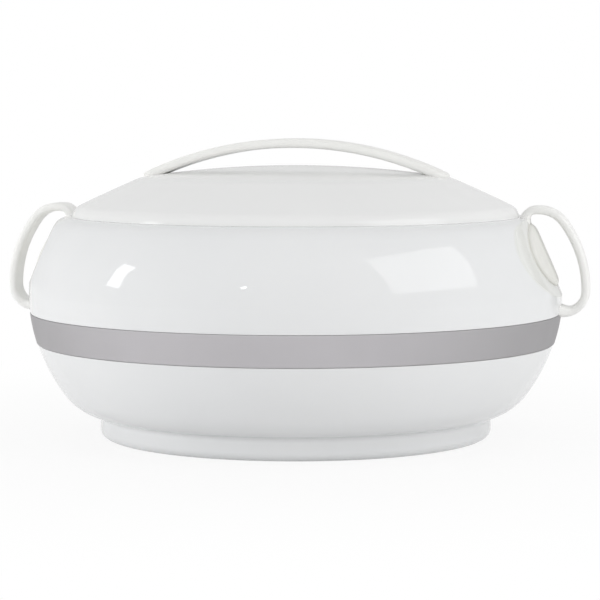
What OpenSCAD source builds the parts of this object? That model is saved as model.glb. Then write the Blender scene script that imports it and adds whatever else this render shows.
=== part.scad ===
// Insulated serving casserole: foam-filled double wall, grey trim band, two loop handles, lift-off lid

/* [Body] */
// Largest radius of the body
body_r = 150; // [140:0.5:165]
// Height of the widest ring above the table
belly_z = 83; // [78:0.5:90]
// Radius of the arc from the widest ring up to the shoulder
upper_arc = 58; // [55:0.5:62]
// Radius of the rounded shoulder
shoulder_round = 15.5; // [13:0.5:18]
// Radius of the arc from the widest ring down to the turn-in
lower_arc = 98; // [94:0.5:102]
// Radius of the turn-in above the foot
turn_round = 29.5; // [27:0.5:32]
// Wall of the two outer shells
wall = 3; // [2.6:0.1:3.6]
// How far the lower shell's spigot reaches past the joint
spigot_reach = 6; // [4:0.5:8]
// Thickness of the spigot
spigot_wall = 2; // [1.5:0.1:2.5]
// Depth of the collar inside the mouth
collar_depth = 8; // [5:0.5:12]
// Thickness of the collar inside the mouth
collar_wall = 2.4; // [2:0.1:3]

/* [Foot] */
// How far the foot ring stands out past the start of the turn-in
foot_out = 3.7; // [2.5:0.1:5]
// Rounding of the foot ring's lower edge
foot_round = 4.5; // [3.5:0.25:5]
// Wall of the foot ring
foot_wall = 3; // [2.4:0.1:3.4]
// Width of the lip that stands on the table
foot_lip = 12.5; // [10:0.5:16]
// Radius of the foam filling hole in the base
fill_hole = 9; // [6:0.5:12]
// How far the plug's flange reaches past the hole
plug_flange = 5; // [3:0.5:9]
// Thickness of the plug's flange
plug_thick = 2; // [1.5:0.25:3]
// Length of the plug's stem above the base
plug_reach = 3; // [2:0.25:5]

/* [Trim band] */
// How far the band's middle lies below the widest ring
band_drop = 21.1; // [20.5:0.1:23]
// Width of the band
band_w = 17; // [14:0.5:18]
// Thickness of the band
band_thick = 1.6; // [1.2:0.1:2]
// How far the band stands out of the shells
band_proud = 0.4; // [0.2:0.1:0.7]

/* [Inner bowl] */
// Distance of the bowl's mouth from the lid's edge
mouth_in = 14; // [12:0.5:18]
// Height of the bowl's underside above the table
bowl_floor = 24; // [22:0.5:30]
// How much narrower the bowl is just above its bottom corner
bowl_taper = 6; // [3:0.5:10]
// Outer radius of the bowl's bottom corner
bowl_corner = 26; // [20:0.5:32]
// Thickness of the bowl's sheet steel
steel = 0.8; // [0.6:0.1:1.2]
// Gap between the bowl's rim flange and the lid's rim
rim_clear = 2.6; // [1.6:0.1:4]
// Width of the folded hem at the rim's edge
hem_w = 2.5; // [1.5:0.25:3.5]
// Height of the folded hem
hem_h = 1.4; // [1.2:0.1:1.5]

/* [Lid] */
// How far the lid's rim stays inside the start of the shoulder's rounding
lid_inset = 0; // [-0.5:0.1:0.5]
// Height of the lid's rim at its outer edge
rim_h = 5.6; // [5:0.1:6.5]
// Distance of the crease round the lid's top from the lid's edge
crease_in = 36; // [31:0.5:40]
// Height of the crease above the rim's lower edge
crease_h = 20.9; // [19:0.1:22.5]
// Radius of the lid's sloping arc
slope_arc = 380; // [320:5:450]
// Height of the lid's apex above the crease
dome_h = 7; // [5.5:0.1:8]
// Rounding of the lid's rim
rim_round = 2; // [1.2:0.1:2.6]
// Wall of the lid's outer shell
lid_wall = 2.4; // [2:0.1:2.8]
// Thickness of the lid's liner
liner_wall = 1.2; // [0.8:0.1:1.3]
// Gap round the liner's plug, which centres the lid in the bowl
plug_clear = 1.7; // [1:0.1:4]
// Depth of the liner's plug below its flange
plug_depth = 9; // [6:0.5:14]
// Rounding of the plug's lower corner
plug_round = 5; // [4:0.25:6]
// Height of the liner's flange above the lid's lower edge
liner_lift = 1.5; // [1.5:0.1:1.8]

/* [Lid handle] */
// Height of the arch's top above the lid's apex
arch_rise = 15; // [13:0.1:18]
// Thickness of the arch
arch_thick = 5.2; // [4.5:0.1:6]
// Width of the arch
arch_w = 22; // [16:0.5:28]
// Rounding of the arch's edges
arch_round = 2.2; // [1:0.1:2.2]
// Distance of the arch's tips from the lid's crease
arch_inset = 2; // [1:0.5:6]
// Height of the arch's tips above the lid
arch_tip = 0.5; // [0.4:0.05:1.2]
// Rounding of the arch's tips, seen from above
tip_round = 7; // [3:0.5:10]
// Distance of the fixing pegs from the tips
arch_peg_in = 9; // [7.5:0.5:12]
// Radius of the fixing pegs
arch_peg = 4; // [3.5:0.1:5]
// Depth of the fixing bosses below the lid's inner face
arch_boss_depth = 5; // [4:0.25:6]

/* [Side handles] */
// Width of the strap
strap_w = 16; // [12:0.5:20]
// Thickness of the strap
strap_thick = 4.6; // [4:0.1:5.2]
// Rounding of the strap's edges
strap_round = 1.9; // [1:0.1:1.9]
// How far the strap stands out past the widest ring
strap_out = 15.5; // [14:0.25:18]
// Height of the strap's outermost point above the widest ring
strap_lift = 1; // [0.5:0.25:3]
// Gap between the lid's edge and the strap's root
strap_root_gap = 0.35; // [0.3:0.05:0.6]
// Radius of the strap's bend down to the shoulder
strap_inner_bend = 9; // [8:0.25:9.5]
// Radius of the strap's bend out from the top
strap_upper_bend = 18.75; // [17.5:0.25:20.5]
// Radius of the strap's long outer curve
strap_long_bend = 65.75; // [63:0.25:68.5]
// Radius of the strap's lower bend
strap_lower_bend = 14.4; // [12.5:0.1:15]

/* [Finger dish] */
// Height above the widest ring at which the dish is measured
dish_lift = 21; // [19:0.5:23]
// Depth of the dish there, from the widest ring
dish_depth = 10.6; // [10.2:0.1:11]
// Horizontal radius of the dish
dish_r = 262; // [245:1:280]
// Lean of the dish from the vertical
dish_lean = 24; // [23:0.5:25]
// Height of the pad's middle above the widest ring
pad_lift = 20.5; // [20:0.25:21]
// Distance of the pad's rounded ends from its middle
pad_end_y = 30.8; // [29.4:0.28:32.2]
// Radius of the pad's rounded ends
pad_end_r = 13.5; // [12.5:0.25:14]
// Height of the pad's face over the dish, at its middle
pad_rise = 1.7; // [1.4:0.1:2]
// Horizontal radius of the pad's face
pad_r = 325; // [300:1:350]
// Depth of the pocket that the pad sits in
pocket_depth = 1; // [0.7:0.1:1.4]
// Distance of each fixing peg from the pad's middle
pad_peg_y = 16; // [12:0.5:20]
// Radius of the pad's fixing pegs
pad_peg = 4; // [3.5:0.1:4.5]
// Depth of the fixing bosses behind the dish
pad_boss_depth = 6; // [5:0.25:8]

/* [Screws] */
// Radius of a screw's shank
screw_r = 1.75; // [1.5:0.05:2]
// Length of a screw's shank
screw_length = 9; // [7:0.5:9.5]
// Radius of a screw's flanged head
head_r = 5.5; // [5:0.1:6]
// Height of a screw's head
head_h = 2.4; // [2:0.1:3]
// Thickness of a screw head's flange
head_flange = 0.9; // [0.7:0.1:1.2]
// Wall of a screw boss round its peg
boss_wall = 2.6; // [2:0.1:3.2]

/* [Fits] */
// Gap between the lid and the pot at rest
lid_gap = 0.3; // [0.2:0.05:0.4]
// Gap between fixed pieces that seat on each other
seat_gap = 0.1; // [0.05:0.05:0.2]
// Gap between the lid's handle and the dome under its tips
arch_gap = 0.3; // [0.2:0.05:0.4]
// Gap round the edge of the trim band and of the pads
edge_gap = 0.2; // [0.1:0.05:0.3]
// Gap between the foam and what holds it
foam_gap = 0.4; // [0.3:0.05:0.6]
// Radial gap round a peg, stem or shank
peg_gap = 0.05; // [0.02:0.01:0.1]

/* [Hidden] */
$fn = 96;

gloss_white = [0.93, 0.93, 0.93];
warm_white = [0.91, 0.91, 0.885];
satin_grey = [0.71, 0.7, 0.71];
sheet_steel = [0.78, 0.79, 0.8];
foam_cream = [0.94, 0.88, 0.66];
zinc = [0.7, 0.71, 0.73];

// Larger than the whole object, for cutting tools
beyond = 3 * body_r;

// Directions in which neighbouring arcs meet: those of 3-4-5 and 7-24-25 triangles, level and upright
meet_up = [0.8, 0.6];
meet_down = [0.8, -0.6];
steep = [0.28, 0.96];
outward = [1, 0];
upward = [0, 1];

// Centres of the body's arcs, each tangent to the next
upper_c = [body_r - upper_arc, belly_z];
shoulder_c = upper_c + (upper_arc - shoulder_round) * meet_up;
lower_c = [body_r - lower_arc, belly_z];
turn_c = lower_c + (lower_arc - turn_round) * meet_down;

ledge_z = shoulder_c[1] + shoulder_round;
base_z = turn_c[1] - turn_round;
foot_r = turn_c[0] + foot_out;

// The two shells meet behind the middle of the band
split_z = belly_z - band_drop;
band_low = split_z - band_w / 2;
band_high = split_z + band_w / 2;

// Radii of the lid and of the bowl, and the centre of the bowl's bottom corner
lid_r = shoulder_c[0] - lid_inset;
crease_r = lid_r - crease_in;
bowl_r = lid_r - mouth_in;
bowl_low_r = bowl_r - bowl_taper;
rim_r = lid_r - lid_wall - rim_clear;
mouth_r = bowl_r + seat_gap;
plug_r = bowl_r - steel - plug_clear;
corner_c = [bowl_low_r - bowl_corner, bowl_floor + bowl_corner];

// Lid heights
lid_z = ledge_z + lid_gap;
crease_z = lid_z + crease_h;
apex_z = crease_z + dome_h;
liner_z = lid_z + liner_lift;
liner_r = lid_r - lid_wall - seat_gap;
dome_arc = (crease_r * crease_r + dome_h * dome_h) / (2 * dome_h);

// Centre of the sloping arc through the rim's upper corner and the crease
slope_from = [lid_r, lid_z + rim_h];
slope_to = [crease_r, crease_z];
slope_chord = norm(slope_to - slope_from);
slope_side = (slope_to - slope_from) / slope_chord;
slope_sag = sqrt(slope_arc * slope_arc - slope_chord * slope_chord / 4);
slope_c = (slope_from + slope_to) / 2 + slope_sag * [-slope_side[1], slope_side[0]];

// Centre of the rim's rounding, tangent to the rim's wall and to the slope
rim_round_x = lid_r - rim_round;
rim_round_h = sqrt(pow(slope_arc - rim_round, 2) - pow(rim_round_x - slope_c[0], 2));
rim_round_c = [rim_round_x, slope_c[1] + rim_round_h];
rim_tangent_x = slope_c[0] + (rim_round_x - slope_c[0]) * slope_arc / (slope_arc - rim_round);
rim_setback = rim_round / 8;

function lid_surface(x) = apex_z - dome_arc + sqrt(dome_arc * dome_arc - x * x);

// Arch of the lid's handle, from its top down to its tips
arch_reach = crease_r - arch_inset;
arch_top = apex_z + arch_rise;
arch_drop = arch_top - lid_surface(arch_reach) - arch_tip;
arch_r = (arch_reach * arch_reach + arch_drop * arch_drop) / (2 * arch_drop);
arch_c = arch_top - arch_r;
arch_half_angle = asin((arch_reach + tip_round) / (arch_r - arch_thick));
arch_peg_x = arch_reach - arch_peg_in;
arch_boss_z = lid_surface(arch_peg_x) - lid_wall - arch_boss_depth;

// Strap of the side handles: from its root at the lid's edge up, level, and down in arcs that are tangent
strap_root = lid_r + strap_root_gap;
strap_reach = body_r + strap_out;
strap_z = belly_z + strap_lift;
long_bend_c = [strap_reach - strap_long_bend, strap_z];
lower_bend_c = [strap_reach - strap_lower_bend, strap_z];
upper_bend_c = long_bend_c + (strap_long_bend - strap_upper_bend) * meet_up;
strap_top = upper_bend_c[1] + strap_upper_bend;
inner_bend_c = [strap_root + strap_inner_bend, strap_top - strap_inner_bend];
meet_angle = atan2(meet_up[1], meet_up[0]);
strap_end = -125;

// Pad of the side handles: an oval of four arcs, each tangent to the next
pad_side_c = pad_end_y * steep[1] / steep[0];
pad_side_r = pad_end_r + pad_end_y / steep[0];
pad_half_h = pad_side_r - pad_side_c;
pad_z = belly_z + pad_lift;

// Leaning dish of the side handles and face of the pad, cones on upright axes of their own
dish_x = body_r - dish_depth;
dish_z = belly_z + dish_lift;
dish_slope = tan(dish_lean);
dish_axis = dish_x - dish_r;
pad_axis = dish_x + pad_rise - pad_r;
boss_x = dish_x - pocket_depth - wall - pad_boss_depth;

// A slice of a disc between two directions, its point at the disc's centre
module pie(centre, radius, from, to) {
    intersection() {
        translate(centre) circle(radius);
        polygon([centre, centre + 2 * radius * from, centre + 2 * radius * to]);
    }
}

// Half section of the whole body, moved inwards
module body_section(inset) {
    top_z = ledge_z - inset;
    low_z = base_z + inset;
    polygon([
        [0, low_z],
        [turn_c[0], low_z],
        turn_c + (turn_round - inset) * meet_down,
        [body_r - inset, belly_z],
        shoulder_c + (shoulder_round - inset) * meet_up,
        [shoulder_c[0], top_z],
        [0, top_z]
    ]);
    pie(shoulder_c, shoulder_round - inset, meet_up, upward);
    pie(upper_c, upper_arc - inset, outward, meet_up);
    pie(lower_c, lower_arc - inset, meet_down, outward);
    pie(turn_c, turn_round - inset, -upward, meet_down);
}

// A level slab of the half section's plane
module level(from, to) {
    translate([0, from]) square([beyond, to - from]);
}

// Skin of the body between two insets and two heights
module skin(outer, inner, from, to) {
    intersection() {
        difference() {
            body_section(outer);
            body_section(inner);
        }
        level(from, to);
    }
}

// Groove that the trim band lies in
module band_groove() {
    skin(-band_proud, band_thick - band_proud + seat_gap, band_low - edge_gap, band_high + edge_gap);
}

// Half section of the bowl, moved inwards
module bowl_section(inset) {
    polygon([
        [0, bowl_floor + inset],
        [corner_c[0], bowl_floor + inset],
        [bowl_low_r - inset, corner_c[1]],
        [bowl_r - inset, ledge_z],
        [0, ledge_z]
    ]);
    pie(corner_c, bowl_corner - inset, -upward, outward);
}

// Half section of the lid, moved inwards; its rim is rounded outside and sharp inside
module lid_section(inset) {
    rounded = inset < rim_round;
    slope_edge = rounded ? rim_tangent_x - rim_setback : lid_r;
    intersection() {
        translate([0, apex_z - dome_arc]) circle(dome_arc - inset);
        union() {
            intersection() {
                translate(slope_c) circle(slope_arc - inset);
                translate([0, lid_z]) square([slope_edge - inset, beyond]);
            }
            if (rounded) {
                translate([0, lid_z]) square([lid_r - inset, rim_round_c[1] - lid_z]);
                translate(rim_round_c) circle(rim_round - inset);
            }
        }
        translate([0, lid_z]) square(beyond);
    }
}

// Rounded bar section, centred
module bar_section(thick, width, corner) {
    square([thick, width - 2 * corner], center = true);
    square([thick - 2 * corner, width], center = true);
    for (x = [-1, 1]) {
        for (y = [-1, 1]) {
            translate([x * (thick / 2 - corner), y * (width / 2 - corner)]) circle(corner, $fn = 32);
        }
    }
}

// A bar bent round a centre in the XZ plane; the radius is that of its outer face
module bent_bar(centre, radius, thick, width, corner, from, to) {
    translate([centre[0], 0, centre[1]])
        rotate([90, 0, 0])
            rotate([0, 0, from])
                rotate_extrude(angle = to - from)
                    translate([radius - thick / 2, 0]) bar_section(thick, width, corner);
}

// Everything outside a leaning cone, on the +X side
module outside_cone(axis, radius) {
    reach = pad_half_h + shoulder_round + edge_gap;
    low_z = dish_z - 2 * reach;
    high_z = dish_z + 2 * reach;
    difference() {
        translate([dish_x / 2, -body_r, low_z]) cube([body_r, 2 * body_r, high_z - low_z]);
        translate([axis, 0, low_z])
            cylinder(
                h = high_z - low_z,
                r1 = radius + 2 * reach * dish_slope,
                r2 = radius - 2 * reach * dish_slope,
                $fn = 192
            );
    }
}

// Everything outside the dish face, moved inwards
module outside_dish(inset) {
    outside_cone(dish_axis, dish_r - inset);
}

// The upper half of the pad's outline
module pad_half(grow) {
    intersection() {
        pie([0, -pad_side_c], pad_side_r + grow, steep, [-steep[0], steep[1]]);
        translate([-beyond / 2, 0]) square([beyond, beyond / 2]);
    }
}

// The pad's outline as a bar along X
module pad_prism(grow) {
    translate([dish_x / 2, 0, pad_z])
        rotate([90, 0, 90])
            linear_extrude(body_r - dish_x / 4) {
                pad_half(grow);
                mirror(upward) pad_half(grow);
                for (y = [-pad_end_y, pad_end_y]) {
                    translate([y, 0]) circle(pad_end_r + grow);
                }
            }
}

// Bar along X behind the pad, at both fixing pegs
module pad_pegs(radius, from, to) {
    for (y = [-pad_peg_y, pad_peg_y]) {
        translate([from, y, pad_z]) rotate([0, 90, 0]) cylinder(h = to - from, r = radius);
    }
}

// Whatever is drawn, on the right side and turned to the left side
module both_sides() {
    for (turn = [0, 180]) {
        rotate([0, 0, turn]) children();
    }
}

// The body's outer form with its two dishes and pad pockets, grown by a gap
module dished_body(gap) {
    difference() {
        rotate_extrude() body_section(-gap);
        both_sides() outside_dish(-gap);
        both_sides() intersection() {
            outside_dish(pocket_depth - gap);
            pad_prism(edge_gap - gap);
        }
    }
}

// A screw along +Z with its head below the origin
module screw() {
    translate([0, 0, -head_flange]) cylinder(h = head_flange, r = head_r);
    translate([0, 0, -head_h]) cylinder(h = head_h, r = head_r * 0.62);
    cylinder(h = screw_length, r = screw_r);
}

module upper_shell() {
    color(gloss_white) difference() {
        union() {
            difference() {
                dished_body(0);
                difference() {
                    rotate_extrude() body_section(wall);
                    both_sides() outside_dish(pocket_depth + wall);
                }
                translate([0, 0, -beyond]) cylinder(h = beyond + split_z, r = beyond);
            }
            rotate_extrude() translate([mouth_r, ledge_z - collar_depth])
                square([collar_wall, collar_depth]);
            both_sides() difference() {
                pad_pegs(pad_peg + boss_wall, boss_x, dish_x);
                outside_dish(pocket_depth + seat_gap);
            }
        }
        translate([0, 0, ledge_z - wall - 1]) cylinder(h = wall + 2, r = mouth_r);
        rotate_extrude() band_groove();
        both_sides() pad_pegs(pad_peg + peg_gap, boss_x - 1, body_r);
    }
}

module lower_shell() {
    spigot_in = wall + seat_gap + spigot_wall;
    color(gloss_white) difference() {
        rotate_extrude() {
            skin(0, wall, 0, split_z);
            skin(wall - seat_gap, spigot_in, split_z - spigot_reach, split_z);
            skin(wall + seat_gap, spigot_in, split_z - spigot_reach, split_z + spigot_reach);
            difference() {
                union() {
                    square([foot_r - foot_round, base_z + wall / 2]);
                    translate([0, foot_round]) square([foot_r, base_z + wall / 2 - foot_round]);
                    translate([foot_r - foot_round, foot_round]) circle(foot_round);
                }
                translate([0, foot_wall]) square([foot_r - foot_wall, base_z - foot_wall]);
                square([foot_r - foot_lip, base_z]);
            }
        }
        rotate_extrude() band_groove();
        cylinder(h = base_z + 2 * wall, r = fill_hole);
    }
}

module trim_band() {
    color(satin_grey) rotate_extrude()
        skin(-band_proud, band_thick - band_proud, band_low, band_high);
}

module inner_bowl() {
    rim_z = ledge_z + seat_gap;
    color(sheet_steel) rotate_extrude() {
        difference() {
            union() {
                bowl_section(0);
                translate([0, ledge_z]) square([bowl_r, seat_gap]);
            }
            bowl_section(steel);
            translate([0, ledge_z]) square([bowl_r - steel, beyond]);
        }
        translate([bowl_r - steel, rim_z]) square([rim_r - bowl_r + steel, steel]);
        translate([rim_r - hem_w, rim_z]) square([hem_w, hem_h]);
    }
}

module body_insulation() {
    fill = wall + foam_gap;
    color(foam_cream) difference() {
        rotate_extrude() difference() {
            body_section(fill);
            bowl_section(-foam_gap);
            skin(wall, wall + seat_gap + spigot_wall + foam_gap,
                split_z - spigot_reach - foam_gap, split_z + spigot_reach + foam_gap);
            translate([0, ledge_z - collar_depth - foam_gap])
                square([mouth_r + collar_wall + foam_gap, beyond]);
            square([fill_hole + foam_gap, base_z + wall + plug_reach + foam_gap]);
        }
        both_sides() {
            outside_dish(pocket_depth + fill);
            pad_pegs(pad_peg + boss_wall + foam_gap, boss_x - head_h - foam_gap, body_r);
        }
    }
}

module base_plug() {
    color(gloss_white) rotate_extrude() {
        translate([0, base_z - seat_gap - plug_thick]) square([fill_hole + plug_flange, plug_thick]);
        translate([0, base_z - seat_gap]) square([fill_hole - peg_gap, wall + seat_gap + plug_reach]);
    }
}

// One bend of the side handle's strap
module strap_bend(centre, radius, from, to) {
    bent_bar(centre, radius, strap_thick, strap_w, strap_round, from, to);
}

// Straight run of the strap between its root and the shoulder, and the level run on top
module strap_runs() {
    translate([strap_root + strap_thick / 2, 0, pad_z])
        linear_extrude(inner_bend_c[1] - pad_z) bar_section(strap_thick, strap_w, strap_round);
    translate([inner_bend_c[0], 0, strap_top - strap_thick / 2])
        rotate([0, 90, 0])
            linear_extrude(upper_bend_c[0] - inner_bend_c[0]) bar_section(strap_thick, strap_w, strap_round);
}

// Neck that joins the strap's root to the pad
module pad_neck() {
    neck_x = strap_root + strap_thick / 2;
    neck_w = strap_w - 2 * strap_round;
    translate([neck_x, -neck_w / 2, pad_z]) cube([body_r - neck_x, neck_w, ledge_z + steel - pad_z]);
}

// Loop strap with its pad, on the right side
module loop_handle() {
    color(warm_white) difference() {
        union() {
            difference() {
                union() {
                    strap_runs();
                    strap_bend(inner_bend_c, strap_inner_bend, 90, 180);
                    strap_bend(upper_bend_c, strap_upper_bend, 90, meet_angle);
                    strap_bend(long_bend_c, strap_long_bend, 0, meet_angle);
                    strap_bend(lower_bend_c, strap_lower_bend, 0, strap_end);
                    difference() {
                        union() {
                            pad_prism(0);
                            pad_neck();
                        }
                        outside_cone(pad_axis, pad_r);
                    }
                }
                dished_body(seat_gap);
                rotate_extrude() skin(-band_proud - edge_gap, wall, band_low, band_high + edge_gap);
            }
            difference() {
                pad_pegs(pad_peg, boss_x + seat_gap, body_r);
                outside_dish(0);
            }
        }
        pad_pegs(screw_r + peg_gap, boss_x - 1, boss_x + screw_length + seat_gap);
    }
}

module right_handle() {
    loop_handle();
}

module left_handle() {
    rotate([0, 0, 180]) loop_handle();
}

module handle_screws() {
    color(zinc) both_sides() {
        for (y = [-pad_peg_y, pad_peg_y]) {
            translate([boss_x, y, pad_z]) rotate([0, 90, 0]) screw();
        }
    }
}

// Whatever is drawn, at both fixing pegs of the lid's handle
module both_tips() {
    for (x = [-arch_peg_x, arch_peg_x]) {
        translate([x, 0, 0]) children();
    }
}

module lid_shell() {
    color(gloss_white) difference() {
        union() {
            rotate_extrude() difference() {
                lid_section(0);
                lid_section(lid_wall);
                translate([0, lid_z - 1]) square([lid_r - lid_wall, 2]);
            }
            both_tips() translate([0, 0, arch_boss_z])
                cylinder(h = arch_boss_depth + lid_wall / 2, r = arch_peg + boss_wall);
        }
        both_tips() translate([0, 0, arch_boss_z - 1]) cylinder(h = beyond, r = arch_peg + peg_gap);
    }
}

module lid_liner() {
    color(gloss_white) rotate_extrude() {
        difference() {
            union() {
                translate([0, liner_z]) square([liner_r, liner_wall]);
                liner_section(0);
            }
            liner_section(liner_wall);
        }
    }
}

// Half section of the liner's plug, moved inwards
module liner_section(inset) {
    low_z = liner_z - plug_depth;
    top_z = liner_z + liner_wall;
    side = plug_r - inset;
    corner = plug_round - inset;
    corner_x = plug_r - plug_round;
    translate([0, low_z + plug_round]) square([side, top_z - low_z - plug_round]);
    translate([0, low_z + inset]) square([corner_x, plug_round]);
    translate([corner_x, low_z + plug_round]) circle(corner);
}

module lid_insulation() {
    color(foam_cream) difference() {
        rotate_extrude() union() {
            difference() {
                lid_section(lid_wall + foam_gap);
                translate([0, lid_z - 1]) square([lid_r, liner_lift + liner_wall + foam_gap + 1]);
            }
            liner_section(liner_wall + foam_gap);
            translate([0, liner_z]) square([plug_r - liner_wall - foam_gap, crease_h / 4]);
        }
        both_tips() translate([0, 0, arch_boss_z - head_h - foam_gap])
            cylinder(h = beyond, r = arch_peg + boss_wall + foam_gap);
    }
}

module lid_handle() {
    color(warm_white) difference() {
        union() {
            difference() {
                intersection() {
                    bent_bar([0, arch_c], arch_r, arch_thick, arch_w, arch_round,
                        90 - arch_half_angle, 90 + arch_half_angle);
                    linear_extrude(beyond) bar_section(2 * arch_reach, 2 * arch_w, tip_round);
                }
                rotate_extrude() lid_section(-arch_gap);
            }
            intersection() {
                both_tips() translate([0, 0, arch_boss_z + seat_gap]) cylinder(h = arch_rise, r = arch_peg);
                translate([0, 0, arch_c])
                    rotate([90, 0, 0]) cylinder(h = arch_w, r = arch_r - arch_thick / 4, center = true);
            }
        }
        both_tips() translate([0, 0, arch_boss_z - 1])
            cylinder(h = screw_length + seat_gap + 1, r = screw_r + peg_gap);
    }
}

module lid_handle_screws() {
    color(zinc) both_tips() translate([0, 0, arch_boss_z]) screw();
}

upper_shell();
lower_shell();
trim_band();
inner_bowl();
body_insulation();
base_plug();
right_handle();
left_handle();
handle_screws();
lid_shell();
lid_liner();
lid_insulation();
lid_handle();
lid_handle_screws();
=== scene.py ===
import math
import bpy
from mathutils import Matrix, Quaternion, Vector


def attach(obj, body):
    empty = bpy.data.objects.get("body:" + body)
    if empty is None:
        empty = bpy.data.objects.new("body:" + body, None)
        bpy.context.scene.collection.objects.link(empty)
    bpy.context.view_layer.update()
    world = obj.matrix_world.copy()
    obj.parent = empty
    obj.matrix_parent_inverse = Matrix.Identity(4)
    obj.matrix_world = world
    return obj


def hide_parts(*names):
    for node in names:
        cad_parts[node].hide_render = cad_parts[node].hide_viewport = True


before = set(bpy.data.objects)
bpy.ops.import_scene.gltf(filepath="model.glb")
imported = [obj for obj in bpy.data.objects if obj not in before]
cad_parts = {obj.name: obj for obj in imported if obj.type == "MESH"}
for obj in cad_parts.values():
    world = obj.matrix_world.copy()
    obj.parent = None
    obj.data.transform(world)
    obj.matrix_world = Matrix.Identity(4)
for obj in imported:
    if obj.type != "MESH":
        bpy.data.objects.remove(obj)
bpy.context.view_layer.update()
scene = bpy.context.scene
mm = 0.001
print("frame loaded:", len(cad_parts), "nodes")


def addObject(name, data):
    obj = bpy.data.objects.new(name, data)
    scene.collection.objects.link(obj)
    return obj


# way out from the pot: degrees round it from the front, degrees above the table
def wayOut(turn, rise):
    turn, rise = math.radians(turn), math.radians(rise)
    level = math.cos(rise)
    return Vector((math.sin(turn) * level, -math.cos(turn) * level, math.sin(rise)))


# camera: seen from a little above, turned towards the right handle
cameraSet = {
    "turn": 9.0, "rise": 4.72, "distance": 1.340,
    "aimHeight": 0.0761, "aimRight": 0.0024,
    "lens": 142.0, "sensor": 36.0, "clipEnd": 50.0,
}


def placeCamera(s):
    away, right = wayOut(s["turn"], s["rise"]), wayOut(s["turn"] + 90.0, 0.0)
    data = bpy.data.cameras.new("photoCamera")
    data.lens = s["lens"]
    data.sensor_width = s["sensor"]
    data.sensor_fit = "HORIZONTAL"
    data.clip_end = s["clipEnd"]
    cam = addObject("photoCamera", data)
    aim = Vector((0.0, 0.0, s["aimHeight"])) + right * s["aimRight"]
    cam.location = aim + away * s["distance"]
    cam.rotation_euler = (-away).to_track_quat("-Z", "Y").to_euler()
    scene.camera = cam


placeCamera(cameraSet)
print("camera placed")

# helpers for material nodes
noiseSpan = (0.3, 0.7)                                         # where most of a noise lies
mixSocket = {"share": 0, "tint": 6, "tone": 7, "result": 2}    # colour sockets of a Mix node


def newMaterial(name):
    mat = bpy.data.materials.new(name)
    mat.use_nodes = True
    tree = mat.node_tree
    return mat, tree, tree.nodes["Principled BSDF"]


def addNode(tree, kind, **inputs):
    node = tree.nodes.new(kind)
    for key, value in inputs.items():
        node.inputs[key].default_value = value
    return node


def objectPlace(tree):
    return tree.nodes.new("ShaderNodeTexCoord").outputs["Object"]


def axesOf(tree, place):
    apart = tree.nodes.new("ShaderNodeSeparateXYZ")
    tree.links.new(place, apart.inputs["Vector"])
    return apart.outputs


def lengthOf(tree, place):
    node = tree.nodes.new("ShaderNodeVectorMath")
    node.operation = "LENGTH"
    tree.links.new(place, node.inputs[0])
    return node.outputs["Value"]


def noiseAt(tree, place, scale, detail, rough=0.5):
    noise = addNode(tree, "ShaderNodeTexNoise", Scale=scale, Detail=detail, Roughness=rough)
    tree.links.new(place, noise.inputs["Vector"])
    return noise.outputs["Fac"]


def tintRamp(tree, source, low, high, span=noiseSpan):
    ramp = tree.nodes.new("ShaderNodeValToRGB")
    for stop, position, tint in zip(ramp.color_ramp.elements, span, (low, high)):
        stop.position = position
        stop.color = (*tint, 1.0)
    tree.links.new(source, ramp.inputs["Fac"])
    return ramp.outputs["Color"]


def mapRange(tree, source, fromSpan, toSpan=(0.0, 1.0), smooth=False):
    node = tree.nodes.new("ShaderNodeMapRange")
    node.interpolation_type = "SMOOTHSTEP" if smooth else "LINEAR"
    for key, value in zip(("From Min", "From Max", "To Min", "To Max"), (*fromSpan, *toSpan)):
        node.inputs[key].default_value = value
    tree.links.new(source, node.inputs["Value"])
    return node.outputs["Result"]


def bump(tree, height, strength, distance, under=None):
    node = addNode(tree, "ShaderNodeBump", Strength=strength, Distance=distance)
    tree.links.new(height, node.inputs["Height"])
    if under is not None:
        tree.links.new(under, node.inputs["Normal"])
    return node.outputs["Normal"]


def calc(tree, kind, *values):
    node = tree.nodes.new("ShaderNodeMath")
    node.operation = kind
    for value, socket in zip(values, node.inputs):
        if isinstance(value, float):
            socket.default_value = value
        else:
            tree.links.new(value, socket)
    return node.outputs[0]


def multiplied(tree, tint, tone, share):
    mix = tree.nodes.new("ShaderNodeMix")
    mix.data_type = "RGBA"
    mix.blend_type = "MULTIPLY"
    mix.inputs[mixSocket["tone"]].default_value = (*tone, 1.0)
    tree.links.new(share, mix.inputs[mixSocket["share"]])
    tree.links.new(tint, mix.inputs[mixSocket["tint"]])
    return mix.outputs[mixSocket["result"]]


# a warmer tone on the two leaning dishes: cones about upright axes, alike on both sides
def warmedDish(tree, place, tint, d):
    axes = axesOf(tree, place)
    side = calc(tree, "SUBTRACT", calc(tree, "ABSOLUTE", axes["X"]), (d["x"] - d["r"]) * mm)
    squares = [calc(tree, "MULTIPLY", way, way) for way in (side, axes["Y"])]
    reach = calc(tree, "SQRT", calc(tree, "ADD", *squares))
    lean = math.tan(math.radians(d["lean"]))
    face = calc(tree, "MULTIPLY_ADD", axes["Z"], -lean, (d["r"] + d["z"] * lean) * mm)
    share = mapRange(tree, calc(tree, "SUBTRACT", reach, face),
                     (-d["soft"] * mm, -d["full"] * mm), smooth=True)
    return multiplied(tree, tint, d["warm"], share)


# painted shade: the band's colour darkens towards the two handles, standing in for its finish
# falling darker there
def paintedSideShade(tree, place, tint, d):
    side = calc(tree, "ABSOLUTE", axesOf(tree, place)["X"])
    share = mapRange(tree, side, (d["from"] * mm, d["to"] * mm))
    return multiplied(tree, tint, d["tone"], share)
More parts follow.
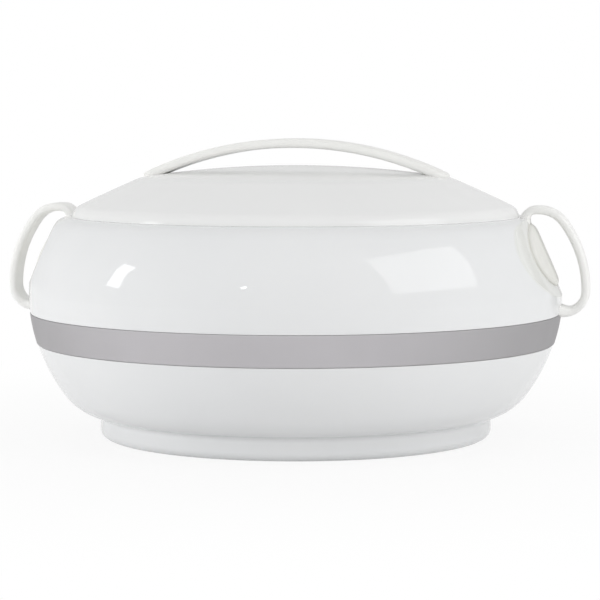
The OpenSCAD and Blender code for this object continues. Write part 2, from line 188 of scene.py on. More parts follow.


# painted shade: a deeper tone down in the valley round the pad, where shade falls
def paintedValleyShade(tree, tint, tone):
    depth = tree.nodes.new("ShaderNodeAttribute")
    depth.attribute_name = "crease"
    return multiplied(tree, tint, tone, depth.outputs["Fac"])


# injection moulded plastic: cloudy tint, uneven polish, a soft orange peel under a fine tool grain
def mouldedPlastic(s):
    mat, tree, bsdf = newMaterial(s["name"])
    place = objectPlace(tree)
    cloud = noiseAt(tree, place, s["cloudScale"], detail=3.0)
    tint = tintRamp(tree, cloud, s["tintLow"], s["tintHigh"])
    if "dish" in s:
        tint = warmedDish(tree, place, tint, s["dish"])
    # painted shade: the band darker towards the handles
    if "sides" in s:
        tint = paintedSideShade(tree, place, tint, s["sides"])
    # painted shade: darker down in the valley round the pad
    if "crease" in s:
        tint = paintedValleyShade(tree, tint, s["crease"])
    wear = noiseAt(tree, place, s["polishScale"], detail=5.0, rough=0.6)
    polish = mapRange(tree, wear, noiseSpan, (s["polishLow"], s["polishHigh"]))
    peel = noiseAt(tree, place, s["peelScale"], detail=2.0)
    grain = noiseAt(tree, place, s["grainScale"], detail=4.0, rough=0.7)
    skin = bump(tree, grain, s["grainStrength"], s["grainDepth"],
                under=bump(tree, peel, s["peelStrength"], s["peelDepth"]))
    tree.links.new(tint, bsdf.inputs["Base Color"])
    tree.links.new(polish, bsdf.inputs["Roughness"])
    tree.links.new(skin, bsdf.inputs["Normal"])
    bsdf.inputs["Specular IOR Level"].default_value = s["shine"]
    return mat


glossWhite = mouldedPlastic({
    "name": "glossWhite",
    "tintLow": (0.765, 0.775, 0.782), "tintHigh": (0.795, 0.802, 0.806), "cloudScale": 9.0,
    "polishLow": 0.025, "polishHigh": 0.05, "polishScale": 30.0,
    "peelScale": 210.0, "peelStrength": 0.05, "peelDepth": 0.0004,
    "grainScale": 1400.0, "grainStrength": 0.03, "grainDepth": 0.0001,
    "shine": 0.5,
    "dish": {"x": 139.4, "z": 104.0, "r": 262.0, "lean": 24.0, "soft": 0.7, "full": 0.05,
             "warm": (0.972, 0.972, 0.935)},
})
lidWhite = mouldedPlastic({
    "name": "lidWhite",
    "tintLow": (0.802, 0.806, 0.803), "tintHigh": (0.827, 0.83, 0.826), "cloudScale": 8.0,
    "polishLow": 0.12, "polishHigh": 0.19, "polishScale": 26.0,
    "peelScale": 190.0, "peelStrength": 0.05, "peelDepth": 0.0004,
    "grainScale": 1300.0, "grainStrength": 0.03, "grainDepth": 0.0001,
    "shine": 0.5,
})
loopFinish = {
    "name": "warmWhite",
    "tintLow": (0.855, 0.855, 0.836), "tintHigh": (0.875, 0.874, 0.857), "cloudScale": 24.0,
    "polishLow": 0.27, "polishHigh": 0.36, "polishScale": 60.0,
    "peelScale": 150.0, "peelStrength": 0.005, "peelDepth": 0.0003,
    "grainScale": 2600.0, "grainStrength": 0.004, "grainDepth": 0.0001,
    "shine": 0.45,
}
warmWhite = mouldedPlastic(loopFinish)
gripWhite = mouldedPlastic({
    **loopFinish, "name": "gripWhite",
    "tintLow": (0.825, 0.825, 0.803), "tintHigh": (0.85, 0.849, 0.828),
})
padWhite = mouldedPlastic({
    "name": "padWhite",
    "tintLow": (0.752, 0.752, 0.716), "tintHigh": (0.775, 0.775, 0.742), "cloudScale": 30.0,
    "polishLow": 0.42, "polishHigh": 0.52, "polishScale": 80.0,
    "peelScale": 160.0, "peelStrength": 0.02, "peelDepth": 0.0003,
    "grainScale": 1900.0, "grainStrength": 0.03, "grainDepth": 0.0001,
    "shine": 0.3,
    # painted shade: the tone the pad's valley darkens to
    "crease": (0.76, 0.755, 0.735),
})
bandGrey = mouldedPlastic({
    "name": "bandGrey",
    "tintLow": (0.495, 0.482, 0.5), "tintHigh": (0.525, 0.512, 0.53), "cloudScale": 18.0,
    "polishLow": 0.48, "polishHigh": 0.6, "polishScale": 45.0,
    "peelScale": 500.0, "peelStrength": 0.08, "peelDepth": 0.0003,
    "grainScale": 3200.0, "grainStrength": 0.18, "grainDepth": 0.0001,
    "shine": 0.08,
    # painted shade: the band's colour darkens towards the handles, from 60 to 148 mm out
    "sides": {"from": 60.0, "to": 148.0, "tone": (0.68, 0.685, 0.675)},
})


# sheet steel spun on a lathe: fine rings round the axis in tint and height, smears in the polish
def spunSteel(s):
    mat, tree, bsdf = newMaterial(s["name"])
    bsdf.inputs["Metallic"].default_value = 1.0
    place = objectPlace(tree)
    axes = axesOf(tree, place)
    flat = tree.nodes.new("ShaderNodeCombineXYZ")
    tree.links.new(axes["X"], flat.inputs["X"])
    tree.links.new(axes["Y"], flat.inputs["Y"])
    ring = tree.nodes.new("ShaderNodeCombineXYZ")
    tree.links.new(lengthOf(tree, flat.outputs["Vector"]), ring.inputs["X"])
    tree.links.new(axes["Z"], ring.inputs["Y"])
    rings = noiseAt(tree, ring.outputs["Vector"], s["ringScale"], detail=3.0, rough=0.6)
    smear = noiseAt(tree, place, s["smearScale"], detail=4.0)
    tree.links.new(tintRamp(tree, rings, s["tintLow"], s["tintHigh"]), bsdf.inputs["Base Color"])
    tree.links.new(mapRange(tree, smear, noiseSpan, (s["polishLow"], s["polishHigh"])),
                   bsdf.inputs["Roughness"])
    tree.links.new(bump(tree, rings, s["ringStrength"], s["ringDepth"]), bsdf.inputs["Normal"])
    return mat


bowlSteel = spunSteel({
    "name": "bowlSteel",
    "tintLow": (0.6, 0.605, 0.612), "tintHigh": (0.66, 0.665, 0.672), "ringScale": 260.0,
    "polishLow": 0.3, "polishHigh": 0.37, "smearScale": 14.0,
    "ringStrength": 0.03, "ringDepth": 0.0001,
})


# rigid foam: rounded cells with darker gaps
def rigidFoam(s):
    mat, tree, bsdf = newMaterial(s["name"])
    cells = addNode(tree, "ShaderNodeTexVoronoi", Scale=s["cellScale"])
    tree.links.new(objectPlace(tree), cells.inputs["Vector"])
    gap = cells.outputs["Distance"]
    tree.links.new(tintRamp(tree, gap, s["tintHigh"], s["tintLow"], s["cellSpan"]),
                   bsdf.inputs["Base Color"])
    tree.links.new(bump(tree, gap, s["cellStrength"], s["cellDepth"]), bsdf.inputs["Normal"])
    bsdf.inputs["Roughness"].default_value = s["dull"]
    return mat


foamCream = rigidFoam({
    "name": "foamCream",
    "tintLow": (0.66, 0.56, 0.33), "tintHigh": (0.83, 0.75, 0.50), "dull": 0.85,
    "cellScale": 650.0, "cellSpan": (0.15, 0.75), "cellStrength": 0.5, "cellDepth": 0.0006,
})


# plated screws: bright zinc with cloudy passivation
def platedZinc(s):
    mat, tree, bsdf = newMaterial(s["name"])
    bsdf.inputs["Metallic"].default_value = 1.0
    cloud = noiseAt(tree, objectPlace(tree), s["cloudScale"], detail=4.0)
    tree.links.new(tintRamp(tree, cloud, s["tintLow"], s["tintHigh"]), bsdf.inputs["Base Color"])
    tree.links.new(mapRange(tree, cloud, noiseSpan, (s["polishLow"], s["polishHigh"])),
                   bsdf.inputs["Roughness"])
    return mat


screwZinc = platedZinc({
    "name": "screwZinc",
    "tintLow": (0.5, 0.5, 0.48), "tintHigh": (0.64, 0.65, 0.66), "cloudScale": 400.0,
    "polishLow": 0.22, "polishHigh": 0.4,
})
print("finishes made")

# the solids keep their shape and get their finish
finishOf = {
    "upper_shell": glossWhite, "base_plug": glossWhite, "lower_shell": glossWhite,
    "lid_shell": lidWhite, "lid_liner": lidWhite,
    "right_handle": warmWhite, "left_handle": warmWhite, "lid_handle": gripWhite,
    "trim_band": bandGrey, "inner_bowl": bowlSteel,
    "body_insulation": foamCream, "lid_insulation": foamCream,
    "handle_screws": screwZinc, "lid_handle_screws": screwZinc,
}
for name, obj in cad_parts.items():
    if not obj.material_slots:
        obj.data.materials.append(finishOf[name])
    for holder in obj.material_slots:
        holder.material = finishOf[name]
print("solids finished")

# helpers for meshes; lengths are in mm until a piece is added
cornerSteps = 6
turnSet = {"segments": 288, "sharp": 38.0, "onAxis": 0.001}
easeSet = {"wideFrom": 0.8, "wideSteps": 6, "steps": 3, "same": 0.004}


def addRow(verts, points):
    verts += points
    return list(range(len(verts) - len(points), len(verts)))


# faces between rows of the same length; a row that is one point gives triangles
def bridgeRows(rows, faces, wrap=False):
    for i in range(len(rows) if wrap else len(rows) - 1):
        low, high = rows[i], rows[(i + 1) % len(rows)]
        for k in range(len(low)):
            n = (k + 1) % len(low)
            corners = list(dict.fromkeys((low[k], low[n], high[n], high[k])))
            if len(corners) > 2:
                faces.append(corners)


def addPiece(name, verts, faces, finishes, sharp, body, node):
    mesh = bpy.data.meshes.new(name)
    mesh.from_pydata([(x * mm, y * mm, z * mm) for x, y, z in verts], [], faces)
    mesh.validate()
    mesh.shade_smooth()
    mesh.set_sharp_from_angle(angle=math.radians(sharp))
    for finish in finishes:
        mesh.materials.append(finish)
    obj = addObject(name, mesh)
    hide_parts(node)
    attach(obj, body)
    return mesh


def arc(centre, radius, start, stop, steps):
    turn = [math.radians(start + (stop - start) * i / steps) for i in range(steps + 1)]
    return [(centre[0] + radius * math.cos(a), centre[1] + radius * math.sin(a)) for a in turn]


def arcBetween(centre, radius, fromZ, toZ, steps):
    start = math.degrees(math.asin((fromZ - centre[1]) / radius))
    stop = math.degrees(math.asin((toZ - centre[1]) / radius))
    return arc(centre, radius, start, stop, steps)


# a bar's section: the span between its corners' centres, and the corners' radius
def roundedSection(uSpan, vSpan, radius):
    (uLow, uHigh), (vLow, vHigh) = uSpan, vSpan
    section = []
    for u, v, start in ((uHigh, vHigh, 0), (uLow, vHigh, 90),
                        (uLow, vLow, 180), (uHigh, vLow, 270)):
        section += arc((u, v), radius, start, start + 90, cornerSteps)
    return section


def trimStart(run, reach):
    pts = [Vector(p) for p in run]
    while len(pts) > 2 and (pts[1] - pts[0]).length <= reach:
        reach -= (pts[1] - pts[0]).length
        pts.pop(0)
    pts[0] = pts[0] + (pts[1] - pts[0]).normalized() * reach
    return pts


# a closed outline of runs, each with the ease of the corner at its end
def easeOutline(runs):
    trimmed = []
    for i, (run, after) in enumerate(runs):
        pts = trimStart(run, runs[i - 1][1])
        trimmed.append(trimStart(pts[::-1], after)[::-1])
    outline = []
    for i, (run, ease) in enumerate(runs):
        outline += trimmed[i]
        if not ease:
            continue
        a, b, c = trimmed[i][-1], Vector(run[-1]), trimmed[(i + 1) % len(runs)][0]
        steps = easeSet["wideSteps"] if ease > easeSet["wideFrom"] else easeSet["steps"]
        for k in range(1, steps):
            t = k / steps
            outline.append(a * (1 - t) ** 2 + b * 2 * t * (1 - t) + c * t ** 2)
    clean = [outline[0]]
    for p in outline[1:]:
        if (p - clean[-1]).length > easeSet["same"]:
            clean.append(p)
    if (clean[-1] - clean[0]).length < easeSet["same"]:
        clean.pop()
    return clean


# an outline spun round the pot's axis
def turnedPiece(name, runs, finish, body, node):
    verts, faces, rows = [], [], []
    count = turnSet["segments"]
    around = [2 * math.pi * k / count for k in range(count)]
    for r, z in easeOutline(runs):
        if r < turnSet["onAxis"]:
            rows.append(addRow(verts, [(0.0, 0.0, z)]) * count)
        else:
            rows.append(addRow(verts, [(r * math.cos(a), r * math.sin(a), z) for a in around]))
    bridgeRows(rows, faces, wrap=True)
    addPiece(name, verts, faces, [finish], turnSet["sharp"], body, node)


# lower half of the body with its foot ring
lowerSet = {
    "sideC": (52.0, 83.0), "sideR": 98.0, "turnC": (106.8, 41.9), "turnR": 29.5,
    "meet": (0.8, -0.6),                               # way from the centres to where the arcs meet
    "wall": 3.0, "joint": 61.9, "grooveLow": 53.2, "grooveIn": 1.3,
    "spigotOut": 3.1, "spigotIn": 5.1, "spigotReach": 6.0,
    "footR": 110.5, "footRound": 4.5, "footWall": 3.0, "lip": 12.5, "base": 12.4, "fillHole": 9.0,
    "footCrease": 2.8, "edge": 0.25, "lipEase": 0.8, "ringEase": 1.5, "holeEase": 0.4,
}


def makeLowerShell(s):
    def sideAt(inset, z):
        return s["sideC"][0] + math.sqrt((s["sideR"] - inset) ** 2 - (z - s["sideC"][1]) ** 2)

    def sideRun(inset, fromZ, toZ, steps):
        return arcBetween(s["sideC"], s["sideR"] - inset, fromZ, toZ, steps)

    def ledge(z, fromInset, toInset):
        return [(sideAt(fromInset, z), z), (sideAt(toInset, z), z)]

    wall, edge, groove, grooveLow = s["wall"], s["edge"], s["grooveIn"], s["grooveLow"]
    spigotOut, spigotIn = s["spigotOut"], s["spigotIn"]
    joint, under, over = s["joint"], s["joint"] - s["spigotReach"], s["joint"] + s["spigotReach"]
    turnC, turnR = s["turnC"], s["turnR"]
    meet = math.degrees(math.atan2(s["meet"][1], s["meet"][0]))
    meetZ = s["sideC"][1] + s["meet"][1] * s["sideR"]
    innerMeetZ = s["sideC"][1] + s["meet"][1] * (s["sideR"] - wall)
    footR, footWall, base, hole = s["footR"], s["footWall"], s["base"], s["fillHole"]
    footAngle = -math.degrees(math.acos((footR - turnC[0]) / turnR))
    footTop = turnC[1] + turnR * math.sin(math.radians(footAngle))
    lipIn, ringIn, floor = footR - s["lip"], footR - footWall, base + wall
    roundC = (footR - s["footRound"], s["footRound"])
    outside = sideRun(0, grooveLow, meetZ, steps=24) + arc(turnC, turnR, meet, footAngle, steps=28)
    inside = (arc(turnC, turnR - wall, -90, meet, steps=12)
              + sideRun(wall, innerMeetZ, under, steps=12))
    turnedPiece("lowerShell", [
        (ledge(joint, spigotOut, groove), edge),
        (sideRun(groove, joint, grooveLow, steps=4), edge),
        (ledge(grooveLow, groove, 0), edge),
        (outside, s["footCrease"]),
        ([(footR, footTop)] + arc(roundC, s["footRound"], 0, -90, steps=12), edge),
        ([(roundC[0], 0), (lipIn, 0)], s["lipEase"]),
        ([(lipIn, 0), (lipIn, footWall)], edge),
        ([(lipIn, footWall), (ringIn, footWall)], s["lipEase"]),
        ([(ringIn, footWall), (ringIn, base)], s["ringEase"]),
        ([(ringIn, base), (hole, base)], s["holeEase"]),
        ([(hole, base), (hole, floor)], s["holeEase"]),
        ([(hole, floor)] + inside, edge),
        (ledge(under, wall, spigotIn), edge),
        (sideRun(spigotIn, under, over, steps=6), edge),
        (ledge(over, spigotIn, spigotOut), edge),
        (sideRun(spigotOut, over, joint, steps=4), edge),
    ], glossWhite, "pot", "lower_shell")


makeLowerShell(lowerSet)

# grey band over the joint
bandSet = {
    "sideC": (52.0, 83.0), "outerR": 98.4, "innerR": 96.8, "low": 53.4, "high": 70.4,
    "edge": 0.55, "innerEdge": 0.2,
}


def makeTrimBand(s):
    outer = arcBetween(s["sideC"], s["outerR"], s["high"], s["low"], steps=14)
    inner = arcBetween(s["sideC"], s["innerR"], s["low"], s["high"], steps=6)
    turnedPiece("trimBand", [
        (outer, s["edge"]),
        ([outer[-1], inner[0]], s["innerEdge"]),
        (inner, s["innerEdge"]),
        ([inner[-1], outer[0]], s["edge"]),
    ], bandGrey, "pot", "trim_band")


makeTrimBand(bandSet)

# outer skin of the lid: rim, slope, soft crease, shallow dome
lidSet = {
    "r": 126.0, "low": 124.02, "rimTop": 127.9, "creaseR": 87.5, "creaseZ": 145.6, "apex": 152.2,
    "slopeR": 900.0, "wall": 2.4, "rimFoot": 0.2, "rimLean": 1.9, "rimEase": 3.4, "edge": 0.12,
    "creaseEase": 3.5, "creaseInEase": 2.0, "rimInEase": 0.6, "edgeIn": 0.2,
    "searchWidth": 6.0, "searchSteps": 40,             # for the crease on the inside
}


def lidDome(s):
    rise = s["apex"] - s["creaseZ"]
    radius = (s["creaseR"] ** 2 + rise ** 2) / (2 * rise)
    return radius, s["apex"] - radius


def makeLidShell(s):
    a, b = Vector((s["r"], s["rimTop"])), Vector((s["creaseR"], s["creaseZ"]))
    side = (b - a).normalized()
    sag = math.sqrt(s["slopeR"] ** 2 - ((b - a).length / 2) ** 2)
    slopeC = (a + b) / 2 + sag * Vector((-side[1], side[0]))
    domeR, domeC = lidDome(s)

    def slopeZ(x, inset):
        return slopeC[1] + math.sqrt((s["slopeR"] - inset) ** 2 - (x - slopeC[0]) ** 2)

    def domeZ(x, inset):
        return domeC + math.sqrt((domeR - inset) ** 2 - x * x)

    def faceRun(heightAt, inset, fromX, toX, steps):
        across = [fromX + (toX - fromX) * i / steps for i in range(steps + 1)]
        return [(x, heightAt(x, inset)) for x in across]

    wall, creaseR = s["wall"], s["creaseR"]
    near, far = creaseR - s["searchWidth"], creaseR + s["searchWidth"]
    for step in range(s["searchSteps"]):               # where the inner faces cross
        creaseIn = (near + far) / 2
        if domeZ(creaseIn, wall) > slopeZ(creaseIn, wall):
            far = creaseIn
        else:
            near = creaseIn
    foot, innerFoot = (s["r"] - s["rimFoot"], s["low"]), (s["r"] - wall, s["low"])
    slope = faceRun(slopeZ, 0, s["r"] - s["rimLean"], creaseR, steps=24)
    slopeIn = faceRun(slopeZ, wall, creaseIn, innerFoot[0], steps=12)
    turnedPiece("lidShell", [
        ([innerFoot, foot], s["edge"]),
        ([foot, slope[0]], s["rimEase"]),
        (slope, s["creaseEase"]),
        (faceRun(domeZ, 0, creaseR, 0.0, steps=40), 0.0),
        (faceRun(domeZ, wall, 0.0, creaseIn, steps=20), s["creaseInEase"]),
        (slopeIn, s["rimInEase"]),
        ([slopeIn[-1], innerFoot], s["edgeIn"]),
    ], lidWhite, "lid", "lid_shell")


makeLidShell(lidSet)

# flat arch over the dome, with blunt round tips that run into the lid
gripSet = {
    "reach": 87.3, "top": 167.4, "tip": 1.6, "thick": 5.2, "half": 11.0, "edge": 2.2,
    "tipRound": 7.0, "tipEase": 1.5, "stations": 120, "sharp": 60.0,
}


def makeLidGrip(s, lid):
    domeR, domeC = lidDome(lid)
    foot = domeC + math.sqrt(domeR ** 2 - s["reach"] ** 2)
    drop = s["top"] - foot - s["tip"]
    outer = (s["reach"] ** 2 + drop ** 2) / (2 * drop)
    middle, end, edge = s["top"] - outer, math.asin(s["reach"] / outer), s["edge"]

    def shortBy(radius, away):                         # how far a rounded end falls short here
        return radius - math.sqrt(radius ** 2 - (radius - min(away, radius)) ** 2)

    verts, faces, rows = [], [], []
    for i in range(s["stations"] + 1):
        turn = -end * math.cos(math.pi * i / s["stations"])
        away = outer * (end - abs(turn))
        half = s["half"] - shortBy(s["tipRound"], away) - edge
        high, low = outer - shortBy(s["tipEase"], away) - edge, outer - s["thick"] + edge
        section = roundedSection((-half, half), (low, high), edge)
        rows.append(addRow(verts, [(reach * math.sin(turn), y, middle + reach * math.cos(turn))
                                   for y, reach in section]))
    bridgeRows(rows, faces)
    faces += [rows[0][::-1], rows[-1]]
    addPiece("lidGrip", verts, faces, [gripWhite], s["sharp"], "lid", "lid_handle")


makeLidGrip(gripSet, lidSet)

# sheet steel bowl with a rolled rim
bowlSet = {
    "floor": 24.0, "mouth": 112.0, "cornerC": (80.0, 50.0), "cornerR": 26.0,
    "steel": 0.8, "rimUnder": 124.1, "rimR": 121.0, "hemW": 2.5, "hemH": 1.4,
    "underEase": 0.2, "hemEase": 0.6, "hemEdge": 0.25, "mouthEase": 0.7,
}


def makeInnerBowl(s):
    steel, rimR, rimUnder, mouth = s["steel"], s["rimR"], s["rimUnder"], s["mouth"]
    rimTop, mouthIn = rimUnder + steel, mouth - steel
    hemTop, hemIn = rimUnder + s["hemH"], rimR - s["hemW"]
    outside = arc(s["cornerC"], s["cornerR"], -90, 0, steps=20)
    inside = arc(s["cornerC"], s["cornerR"] - steel, 0, -90, steps=20)
    turnedPiece("innerBowl", [
        ([(0.0, s["floor"])] + outside + [(mouth, rimUnder)], s["underEase"]),
        ([(mouth, rimUnder), (rimR, rimUnder)], s["hemEase"]),
        ([(rimR, rimUnder), (rimR, hemTop)], s["hemEase"]),
        ([(rimR, hemTop), (hemIn, hemTop)], s["hemEdge"]),
        ([(hemIn, hemTop), (hemIn, rimTop)], s["hemEdge"]),
        ([(hemIn, rimTop), (mouthIn, rimTop)], s["mouthEase"]),
        ([(mouthIn, rimTop)] + inside + [(0.0, s["floor"] + steel)], 0.0),
    ], bowlSteel, "pot", "inner_bowl")


makeInnerBowl(bowlSet)
print("turned pieces and lid grip made")

# loop handles: a strap with flared roots, and a pad that rises softly out of the finger dish
handleSet = {
    "thick": 4.6, "width": 16.0, "round": 1.9, "sharp": 60.0,
    "rootX": 126.35, "rootLow": 112.0, "rootSteps": 14,
    "innerBend": ((135.35, 121.45), 9.0, (180.0, 90.0), 12),   # centre, radius, degrees, steps
    "upperBend": ((137.35, 111.7), 18.75, (90.0, 36.8699), 16),
    "longBend": ((99.75, 83.5), 65.75, (34.0, 3.0), 16),
    "lowerBend": ((151.1, 83.5), 14.4, (0.0, -120.0), 28),
    "neck": 1.2, "neckLow": 115.5, "neckFade": 4.0, "neckTurn": 60.0, "padGap": 0.3,
    "rootFlare": 3.0, "rootFade": 11.0, "lowerFlare": 1.6, "flareFrom": -60.0, "flareTurn": 45.0,
    "padZ": 103.5, "endY": 30.8, "endR": 13.5, "endSteps": 18,
    "sideC": 105.6, "sideR": 123.5, "sideSteps": 30, "meet": 73.7398,   # degrees where arcs meet
    "dishX": 139.4, "dishZ": 104.0, "dishR": 262.0, "padR": 325.0, "padRise": 1.7, "lean": 24.0,
    "lipOut": 0.15, "lipSink": 0.03, "lipRows": 8, "lipShadeFade": 1.3, "bodyRows": 6,
    "valleyY": 38.0, "valleyZ": 17.4, "valleyDeep": 0.3,
    "padEdge": 3.0, "slopeRows": 10, "slopeShadeFade": 5, "faceRings": (0.85, 0.68, 0.5, 0.32, 0.15),
}


def easeIn(t):
    t = min(max(t, 0.0), 1.0)
    return t * t * (3 - 2 * t)


def coneFace(s, radius, front, y, z):
    level = radius - (z - s["dishZ"]) * math.tan(math.radians(s["lean"]))
    return front - radius + math.sqrt(level * level - y * y)


def padFace(s, y, z):
    return coneFace(s, s["padR"], s["dishX"] + s["padRise"], y, z)


# along the strap: centre, way out, inner half of the thickness, half width
def strapStations(s):
    half, halfWidth = s["thick"] / 2, s["width"] / 2
    rootX, neck = s["rootX"] + half, half + s["neck"]
    topZ = s["innerBend"][0][1]
    stations = []
    for i in range(s["rootSteps"]):
        z = s["rootLow"] + (topZ - s["rootLow"]) * i / s["rootSteps"]
        reach = padFace(s, 0.0, z) - s["padGap"] - rootX
        inner = neck + (reach - neck) * (1 - easeIn((z - s["neckLow"]) / s["neckFade"]))
        wide = halfWidth + s["rootFlare"] * easeIn((topZ - z) / s["rootFade"])
        stations.append(((rootX, z), (-1.0, 0.0), inner, wide))
    for bend in ("innerBend", "upperBend", "longBend", "lowerBend"):
        centre, radius, (start, stop), steps = s[bend]
        for i in range(steps + 1):
            angle = start + (stop - start) * i / steps
            way = (math.cos(math.radians(angle)), math.sin(math.radians(angle)))
            at = (centre[0] + (radius - half) * way[0], centre[1] + (radius - half) * way[1])
            inner, wide = half, halfWidth
            if bend == "innerBend":
                inner += s["neck"] * (1 - easeIn((start - angle) / s["neckTurn"]))
            if bend == "lowerBend":
                flare = s["lowerFlare"] * easeIn((s["flareFrom"] - angle) / s["flareTurn"])
                inner, wide = inner + flare, wide + flare
            stations.append((at, way, inner, wide))
    return stations


def strapMesh(s, verts, faces):
    half, r, rows = s["thick"] / 2, s["round"], []
    for at, way, inner, wide in strapStations(s):
        section = roundedSection((r - inner, half - r), (r - wide, wide - r), r)
        rows.append(addRow(verts, [(at[0] + way[0] * u, v, at[1] + way[1] * u)
                                   for u, v in section]))
    bridgeRows(rows, faces)
    faces += [rows[0][::-1], rows[-1]]


def padOutline(s, inset):
    meet, outline = s["meet"], []
    for centre, radius, start, stop, steps in (
            ((s["endY"], 0.0), s["endR"], -meet, meet, s["endSteps"]),
            ((0.0, -s["sideC"]), s["sideR"], meet, 180 - meet, s["sideSteps"]),
            ((-s["endY"], 0.0), s["endR"], 180 - meet, 180 + meet, s["endSteps"]),
            ((0.0, s["sideC"]), s["sideR"], 180 + meet, 360 - meet, s["sideSteps"])):
        outline += arc(centre, radius - inset, start, stop, steps)[:-1]
    return outline


# the valley is an oval inside the pad's own outline: a lip down to it, then up to the face
def padMesh(s, verts, faces, crease):
    edge = padOutline(s, -s["lipOut"])
    turns = [math.atan2(z / s["valleyZ"], y / s["endY"]) for y, z in edge]

    def oval(inset, scale=1.0):
        wide, high = (s["valleyY"] - inset) * scale, (s["valleyZ"] - inset) * scale
        return [(wide * math.cos(a), high * math.sin(a)) for a in turns]

    deep, rings = s["valleyDeep"], []                  # points, sink, way up to the face, painted valley shade
    # painted valley shade grows down the lip and fades up the slope to the face
    for i in range(s["lipRows"] + 1):
        t = i / s["lipRows"]
        ring = [(y + (oy - y) * t, z + (oz - z) * t) for (y, z), (oy, oz) in zip(edge, oval(0.0))]
        rings.append((ring, s["lipSink"] + (deep - s["lipSink"]) * t * t, 0.0, t ** s["lipShadeFade"]))
    for i in range(1, s["slopeRows"] + 1):
        t = i / s["slopeRows"]
        rings.append((oval(s["padEdge"] * t), deep, t * (2 - t), (1 - t) ** s["slopeShadeFade"]))
    rings += [(oval(s["padEdge"], scale), deep, 1.0, 0.0) for scale in s["faceRings"]]
    rows = []
    for ring, sink, lift, tone in rings:
        points = []
        for y, z in ring:
            low = coneFace(s, s["dishR"], s["dishX"], y, s["padZ"] + z) - sink
            high = padFace(s, y, s["padZ"] + z)
            points.append((low + (high - low) * lift, y, s["padZ"] + z))
        rows.append(addRow(verts, points))
        # painted valley shade for each point of the ring
        crease += [tone] * len(points)
    rows.append(addRow(verts, [(padFace(s, 0.0, s["padZ"]), 0.0, s["padZ"])]) * len(edge))
    crease.append(0.0)
    bridgeRows(rows, faces)
    return len(edge)


def makeLoopHandle(s, name, node, turn):
    verts, faces = [], []
    strapMesh(s, verts, faces)
    strapFaces, crease = len(faces), [0.0] * len(verts)
    ringFaces = padMesh(s, verts, faces, crease)
    finishes = [warmWhite, padWhite, glossWhite]
    mesh = addPiece(name, [(turn * x, turn * y, z) for x, y, z in verts], faces, finishes,
                    s["sharp"], "pot", node)
    # the painted valley shade is kept on the mesh for the pad's finish to read
    mesh.attributes.new("crease", "FLOAT", "POINT").data.foreach_set("value", crease)
    lipEnd = strapFaces + s["bodyRows"] * ringFaces    # the lip looks like the body up to here
    for face in mesh.polygons[strapFaces:]:
        face.material_index = finishes.index(glossWhite if face.index < lipEnd else padWhite)


makeLoopHandle(handleSet, "rightLoop", "right_handle", 1)
makeLoopHandle(handleSet, "leftLoop", "left_handle", -1)
print("loop handles made")

# white studio: the room is white to look at, a little darker in the gloss and softer as a light
white = (1.0, 1.0, 1.0, 1.0)
roomSet = {"ambient": 0.2, "inGloss": 0.7}


def seenDirectly(tree):
    ray = tree.nodes.new("ShaderNodeLightPath").outputs
    gloss = calc(tree, "MULTIPLY", ray["Is Glossy Ray"], roomSet["inGloss"])
    seen = calc(tree, "MAXIMUM", ray["Is Camera Ray"], gloss)
    return calc(tree, "MAXIMUM", seen, ray["Is Transmission Ray"])


def mixSurface(tree, share, plain, seen, output):
    mix = tree.nodes.new("ShaderNodeMixShader")
    for source, socket in zip((share, plain, seen), mix.inputs):
        tree.links.new(source, socket)
    tree.links.new(mix.outputs["Shader"], tree.nodes[output].inputs["Surface"])


def makeRoom(s):
    world = bpy.data.worlds.new("studio")
    scene.world = world
    world.use_nodes = True
    tree = world.node_tree
    soft = tree.nodes["Background"]
    soft.inputs["Color"].default_value = white
    soft.inputs["Strength"].default_value = s["ambient"]
    bright = addNode(tree, "ShaderNodeBackground", Color=white, Strength=1.0)
    mixSurface(tree, seenDirectly(tree), soft.outputs["Background"], bright.outputs["Background"],
               "World Output")


# floor: white, with the pot's own soft shadow round the foot
floorSet = {
    "half": 3.0, "level": -0.0003, "tone": 0.86, "dull": 0.9,
    "whiteNear": 0.88, "whiteFar": 1.0, "fadeFrom": 0.125, "fadeTo": 0.42,
}


def makeFloor(s):
    h, z = s["half"], s["level"]
    mesh = bpy.data.meshes.new("floor")
    mesh.from_pydata([(-h, -h, z), (h, -h, z), (h, h, z), (-h, h, z)], [], [(0, 1, 2, 3)])
    mat, tree, bsdf = newMaterial("paleFloor")
    bsdf.inputs["Base Color"].default_value = (s["tone"], s["tone"], s["tone"], 1.0)
    bsdf.inputs["Roughness"].default_value = s["dull"]
    bsdf.inputs["Specular IOR Level"].default_value = 0.0
    glow = addNode(tree, "ShaderNodeEmission", Color=white, Strength=1.0)
    fade = mapRange(tree, lengthOf(tree, objectPlace(tree)), (s["fadeFrom"], s["fadeTo"]),
                    (s["whiteNear"], s["whiteFar"]), smooth=True)
    mixSurface(tree, calc(tree, "MULTIPLY", fade, seenDirectly(tree)), bsdf.outputs["BSDF"],
               glow.outputs["Emission"], "Material Output")
    mesh.materials.append(mat)
    addObject("floor", mesh)


makeFloor(floorSet)
makeRoom(roomSet)

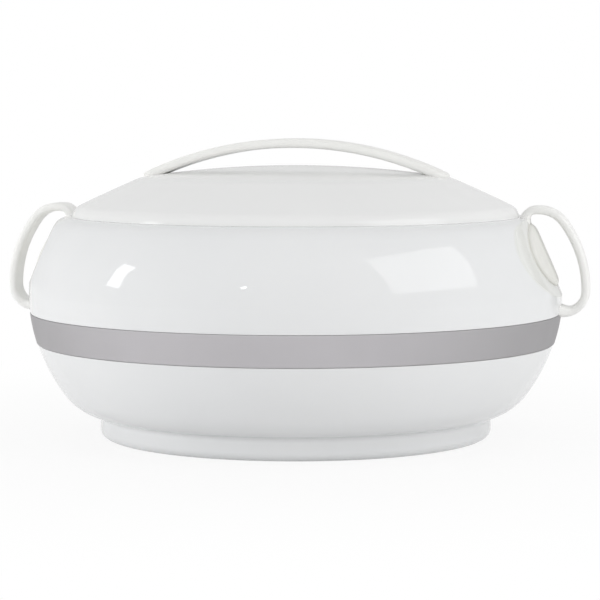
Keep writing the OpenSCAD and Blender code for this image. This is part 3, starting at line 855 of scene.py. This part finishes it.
# softboxes: degrees round the pot and above the table, metres away from the pot's middle
# the wide walls only brighten; the two boxes and the spark also show in the gloss
lampAim = Vector((0.0, 0.0, 0.085))
lampSet = [
    {"name": "rightBox", "turn": 68.0, "rise": 27.0, "away": 1.25,
     "size": (0.92, 0.78), "watts": 3.7, "shows": True},
    {"name": "leftWindow", "turn": -68.9, "rise": 17.4, "away": 1.25, "roll": -8.5,
     "size": (0.15, 0.385), "watts": 0.9, "shows": True},
    {"name": "leftSide", "turn": -66.0, "rise": 8.0, "away": 1.7,
     "size": (1.2, 0.5), "watts": 9.6},
    {"name": "leftFront", "turn": -40.0, "rise": 7.0, "away": 1.7,
     "size": (1.2, 0.5), "watts": 3.0},
    {"name": "rightFront", "turn": 50.0, "rise": 7.0, "away": 1.7,
     "size": (1.2, 0.5), "watts": 2.2},
    {"name": "rightSide", "turn": 70.0, "rise": 8.0, "away": 1.7,
     "size": (1.2, 0.5), "watts": 4.2},
    {"name": "frontLow", "turn": 9.0, "rise": 3.0, "away": 1.8,
     "size": (1.6, 0.6), "watts": 3.0},
    {"name": "frontHigh", "turn": 9.0, "rise": 45.0, "away": 1.6,
     "size": (1.4, 1.4), "watts": 1.4},
    {"name": "topBox", "turn": 0.0, "rise": 88.0, "away": 1.5,
     "size": (2.2, 2.2), "watts": 11.0},
    {"name": "backWall", "turn": 189.0, "rise": 40.0, "away": 1.8,
     "size": (2.0, 1.2), "watts": 7.0},
    {"name": "leftBack", "turn": -140.0, "rise": 18.0, "away": 1.7,
     "size": (1.2, 1.2), "watts": 3.0},
    {"name": "rightBack", "turn": 145.0, "rise": 18.0, "away": 1.7,
     "size": (1.2, 1.2), "watts": 3.8},
    {"name": "spark", "turn": -11.9, "rise": 16.7, "away": 1.6,
     "size": (0.05, 0.05), "watts": 0.12, "shows": True},
]


def placeLamp(s):
    toLamp = wayOut(s["turn"], s["rise"])
    data = bpy.data.lights.new(s["name"], "AREA")
    data.shape = "RECTANGLE"
    data.size, data.size_y = s["size"]
    data.energy = s["watts"]
    lamp = addObject(s["name"], data)
    lamp.visible_glossy = s.get("shows", False)
    lamp.location = lampAim + toLamp * s["away"]
    roll = Quaternion((0.0, 0.0, 1.0), math.radians(s.get("roll", 0.0)))
    lamp.rotation_euler = ((-toLamp).to_track_quat("-Z", "Y") @ roll).to_euler()


for lamp in lampSet:
    placeLamp(lamp)
scene.view_settings.view_transform = "Standard"
print("studio lit")
